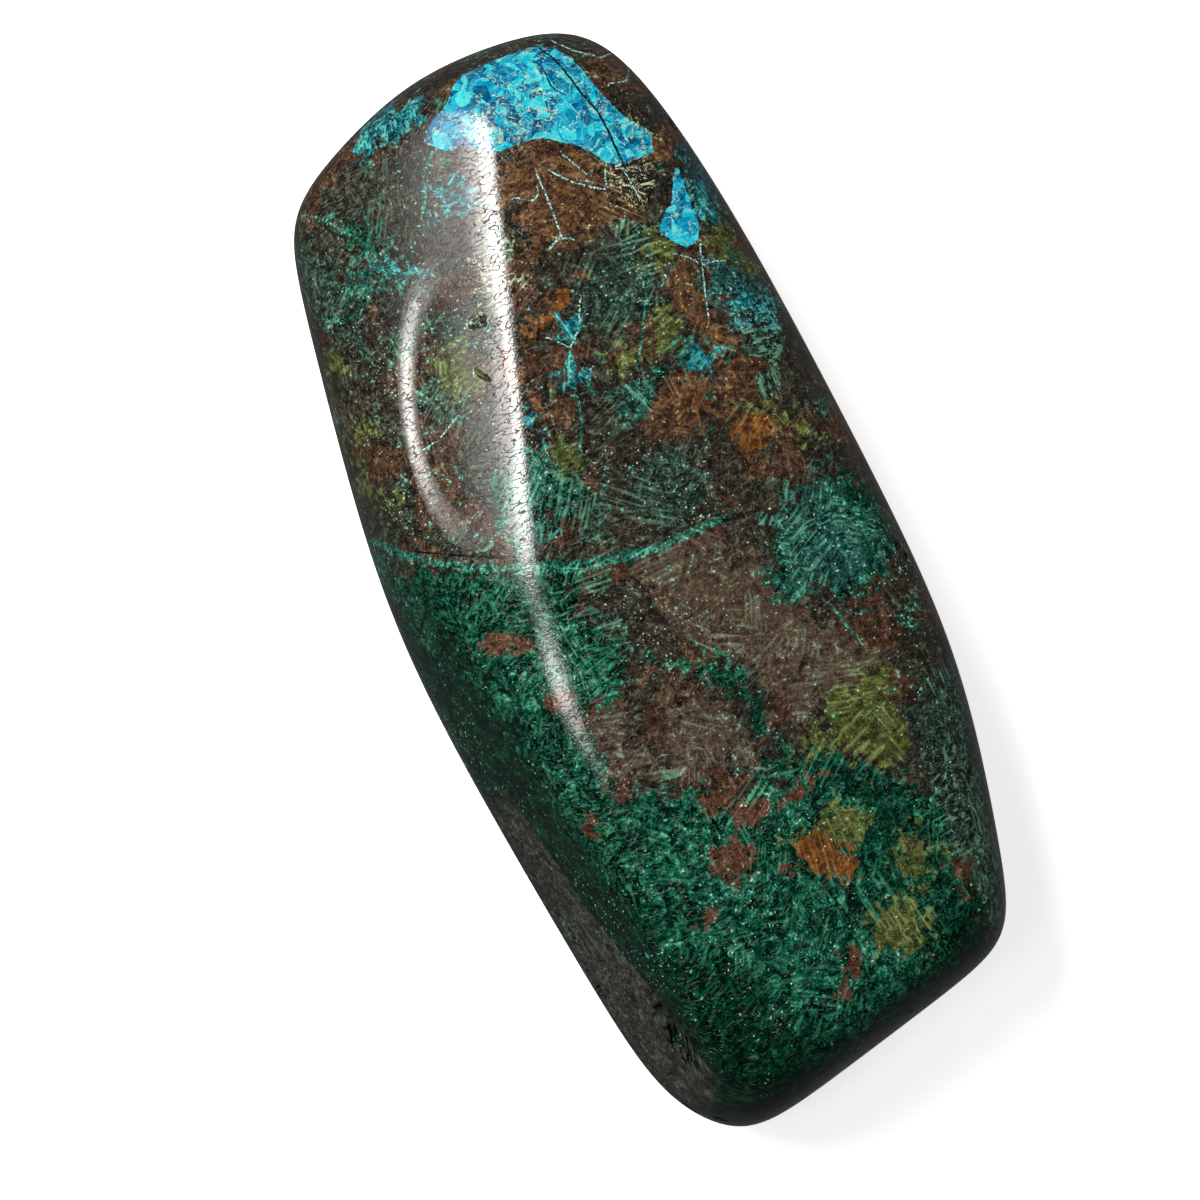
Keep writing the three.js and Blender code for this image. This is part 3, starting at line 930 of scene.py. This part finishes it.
def layered_colour(texture):
    """The brown rock with the minerals laid over it one by one."""
    colour = matrix_colour(texture)
    for name, wander, edge in LAYERS:
        share = mineral_share(texture, name, wander, edge)
        colour = texture.recipe.blend(share, colour, mineral_colour(texture, name))
    return colour


def etch_and_highlight(texture, colour):
    """Cream fibres and dark scratches over the colour where the stone is etched, and as a painted highlight
    where the window's band crosses the bevel.
    """
    recipe = texture.recipe
    etched_and_highlit = mineral_share(texture, "cream", *ETCHED_AND_HIGHLIT_EDGE)
    cream = recipe.times(recipe.step(texture.lines, 0.3, 0.6), etched_and_highlit, 0.85)
    colour = recipe.blend(cream, colour, accent("cream"))
    return recipe.blend(recipe.times(texture.scratches, etched_and_highlit, 0.9), colour, accent("scratch"))


def draw_lines(texture, colour):
    """Seams over the colour, then veins, then cracks."""
    recipe = texture.recipe
    vein = recipe.blend(recipe.step(texture.grain, 0.45, 0.6), accent("dark_vein"), accent("light_vein"))
    colour = recipe.blend(line_share(texture, "seam", 4.5, 0.46), colour, paint(texture, "seam"))
    colour = recipe.blend(line_share(texture, "vein", 2.6, 0.48), colour, vein)
    return recipe.blend(line_share(texture, "crack", 2.4, 0.36), colour, accent("crack"))


def add_dots(texture, colour):
    """Small bright glints and larger mint dots over the colour, crowded in places, and then the dark pits."""
    recipe = texture.recipe
    beads = recipe.noise(recipe.shifted(recipe.place, (9, 2, 4)), BEADS_PER_MM, 0.0)
    crowd = recipe.add(recipe.times(texture.clouds[2], 0.09), recipe.times(texture.fray, 0.5), -0.14)
    glints = recipe.step(recipe.add(texture.sparkle, crowd), 0.93, 0.965)
    mint_dots = recipe.step(recipe.add(beads, crowd), 0.94, 0.975)
    bluish = recipe.step(texture.chips[0], 0.4, 0.6)
    bright = recipe.blend(bluish, accent("cream_glint"), accent("blue_glint"))
    colour = recipe.blend(recipe.times(glints, 0.9), colour, bright)
    colour = recipe.blend(recipe.times(mint_dots, 0.75), colour, accent("mint_dot"))
    return recipe.blend(recipe.times(texture.pits, 0.9), colour, accent("pit"))


def worn_gloss(texture, flat, floor):
    """The roughness of the polish, which scratches and pits break. The flat and the hollows have none."""
    recipe = texture.recipe
    gloss = recipe.between(recipe.step(texture.fray, 0.4, 0.65), BEST_POLISH, WORST_POLISH)
    scratched = recipe.times(texture.scratches, recipe.step(texture.fray, 0.38, 0.5))
    gloss = recipe.between(scratched, gloss, SCRATCH_ROUGHNESS)
    gloss = recipe.between(recipe.most(flat, texture.pits), gloss, GROUND_ROUGHNESS)
    return recipe.between(floor, gloss, RAW_ROUGHNESS)


def fine_relief(texture):
    """The grain, the scratches and the smallest pits, which are too fine for the mesh."""
    recipe = texture.recipe
    cuts = recipe.add(recipe.times(texture.scratches, -1.4), recipe.times(texture.pits, -2.0))
    height = recipe.add(texture.grain, cuts)
    bump = recipe.node("ShaderNodeBump", Strength=1.0, Distance=RELIEF * MM, Height=height)
    return bump.outputs["Normal"]


def stone_material():
    recipe = Recipe("polished_chrysocolla")
    texture = Texture(recipe)
    colour = add_dots(texture, draw_lines(texture, etch_and_highlight(texture, layered_colour(texture))))
    # The dull part of the ground flat is painted grey: partly its own dark stone, partly a painted reflection
    # of the grey surroundings seen at a low angle.
    flat = recipe.add(recipe.attribute("ground"), recipe.times(texture.fray, 0.4))
    flat = recipe.step(flat, 0.15, 0.45)
    colour = recipe.blend(flat, colour, paint(texture, "ground"))
    # The hollows are painted darker inside, from near black to dark grey by the grain.
    floor = recipe.step(recipe.attribute("hollow"), -0.05, 0.12)
    hollow_inside_colour = recipe.blend(texture.grain, accent("dark_hollow"), accent("light_hollow"))
    colour = recipe.blend(recipe.times(floor, 0.85), colour, hollow_inside_colour)
    recipe.fill(recipe.shader.inputs["Base Color"], colour)
    recipe.fill(recipe.shader.inputs["Roughness"], worn_gloss(texture, flat, floor))
    recipe.fill(recipe.shader.inputs["Normal"], fine_relief(texture))
    recipe.shader.inputs["IOR"].default_value = REFRACTION
    return recipe.material


def floor_material():
    recipe = Recipe("pale_floor")
    grain = recipe.noise(recipe.place, 0.05, 2.0)
    greys = [(grey, grey, grey, 1) for grey in FLOOR_GREYS]
    recipe.fill(recipe.shader.inputs["Base Color"], recipe.blend(grain, *greys))
    recipe.shader.inputs["Roughness"].default_value = 0.85
    recipe.shader.inputs["Emission Color"].default_value = (1, 1, 1, 1)
    recipe.shader.inputs["Emission Strength"].default_value = FLOOR_GLOW
    return recipe.material


def make_floor():
    """A pale floor that glows by itself. It doesn't show in the stone's polish or light the stone."""
    mesh = bpy.data.meshes.new("floor")
    half = FLOOR_HALF * MM
    corners = [(-half, -half, 0), (half, -half, 0), (half, half, 0), (-half, half, 0)]
    mesh.from_pydata(corners, [], [(0, 1, 2, 3)])
    mesh.materials.append(floor_material())
    floor = bpy.data.objects.new("floor", mesh)
    bpy.context.scene.collection.objects.link(floor)
    floor.visible_glossy = False
    floor.visible_diffuse = False


def camera_axes():
    """The camera's right, up and backward directions, as the rows of a matrix."""
    lean_x, lean_y, turn = (math.radians(a) for a in (CAMERA_LEAN_X, CAMERA_LEAN_Y, CAMERA_TURN))
    back = Vector((-math.tan(lean_x), -math.tan(lean_y), 1)).normalized()
    right = Vector((math.sin(turn), math.cos(turn), 0)).cross(back).normalized()
    return Matrix((right, back.cross(right), back))


def make_camera():
    axes = camera_axes()
    camera = bpy.data.objects.new("camera", bpy.data.cameras.new("camera"))
    camera.data.lens = LENS
    camera.data.sensor_width = SENSOR
    camera.data.clip_start = CLIP_START * MM
    place = (Vector(CAMERA_TARGET) + axes[2] * CAMERA_DISTANCE) * MM
    camera.matrix_world = Matrix.Translation(place) @ axes.transposed().to_4x4()
    bpy.context.scene.collection.objects.link(camera)
    bpy.context.scene.camera = camera


def make_panel(name, azimuth, elevation, width, height, radiance, seen):
    """A soft rectangular light, placed by its bearing from the camera's axis."""
    right, up, back = camera_axes()
    a, e = math.radians(azimuth), math.radians(elevation)
    towards = back * math.cos(a) * math.cos(e) + right * math.sin(a) * math.cos(e) + up * math.sin(e)
    light = bpy.data.lights.new(name, "AREA")
    light.shape = "RECTANGLE"
    light.size = width * MM
    light.size_y = height * MM
    light.color = PANEL_COLOUR
    light.energy = radiance * math.pi * light.size * light.size_y
    panel = bpy.data.objects.new(name, light)
    side = up.cross(towards).normalized()
    facing = Matrix((side, towards.cross(side), towards)).transposed()
    place = (Vector(PANEL_AIM) + towards * PANEL_DISTANCE) * MM
    panel.matrix_world = Matrix.Translation(place) @ facing.to_4x4()
    panel.visible_glossy = seen
    bpy.context.scene.collection.objects.link(panel)


def make_world():
    """A room that is bright near the floor and dark overhead, so that the polish shows deep colour."""
    world = bpy.data.worlds.new("room")
    world.use_nodes = True
    nodes, links = world.node_tree.nodes, world.node_tree.links
    height = nodes.new("ShaderNodeSeparateXYZ")
    links.new(nodes.new("ShaderNodeTexCoord").outputs["Generated"], height.inputs[0])
    ramp = nodes.new("ShaderNodeMapRange")
    ramp.interpolation_type = "SMOOTHSTEP"
    for socket, value in zip(("From Min", "From Max"), ROOM_HEIGHTS):
        ramp.inputs[socket].default_value = value
    for socket, value in zip(("To Min", "To Max"), (HORIZON_LIGHT, ZENITH_LIGHT)):
        ramp.inputs[socket].default_value = value
    links.new(height.outputs["Z"], ramp.inputs["Value"])
    links.new(ramp.outputs["Result"], nodes["Background"].inputs["Strength"])
    nodes["Background"].inputs["Color"].default_value = (1, 1, 1, 1)
    bpy.context.scene.world = world


# Without a seed, the vector noise that bends the pattern is new in each run.
noise.seed_set(PATTERN_SEED)
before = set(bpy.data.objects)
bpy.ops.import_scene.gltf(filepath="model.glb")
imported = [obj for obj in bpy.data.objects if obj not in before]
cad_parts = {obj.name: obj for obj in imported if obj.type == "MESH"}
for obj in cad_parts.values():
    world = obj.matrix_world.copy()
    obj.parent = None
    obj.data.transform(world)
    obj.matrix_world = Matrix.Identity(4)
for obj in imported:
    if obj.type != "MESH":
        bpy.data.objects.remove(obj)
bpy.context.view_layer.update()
make_camera()
stone = make_stone(stone_material())
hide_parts("stone")
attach(stone, "root")
make_floor()
make_world()
for panel in PANELS:
    make_panel(*panel)
# The colours above are what the eye sees on screen, so the view adds no curve of its own.
bpy.context.scene.view_settings.view_transform = "Standard"
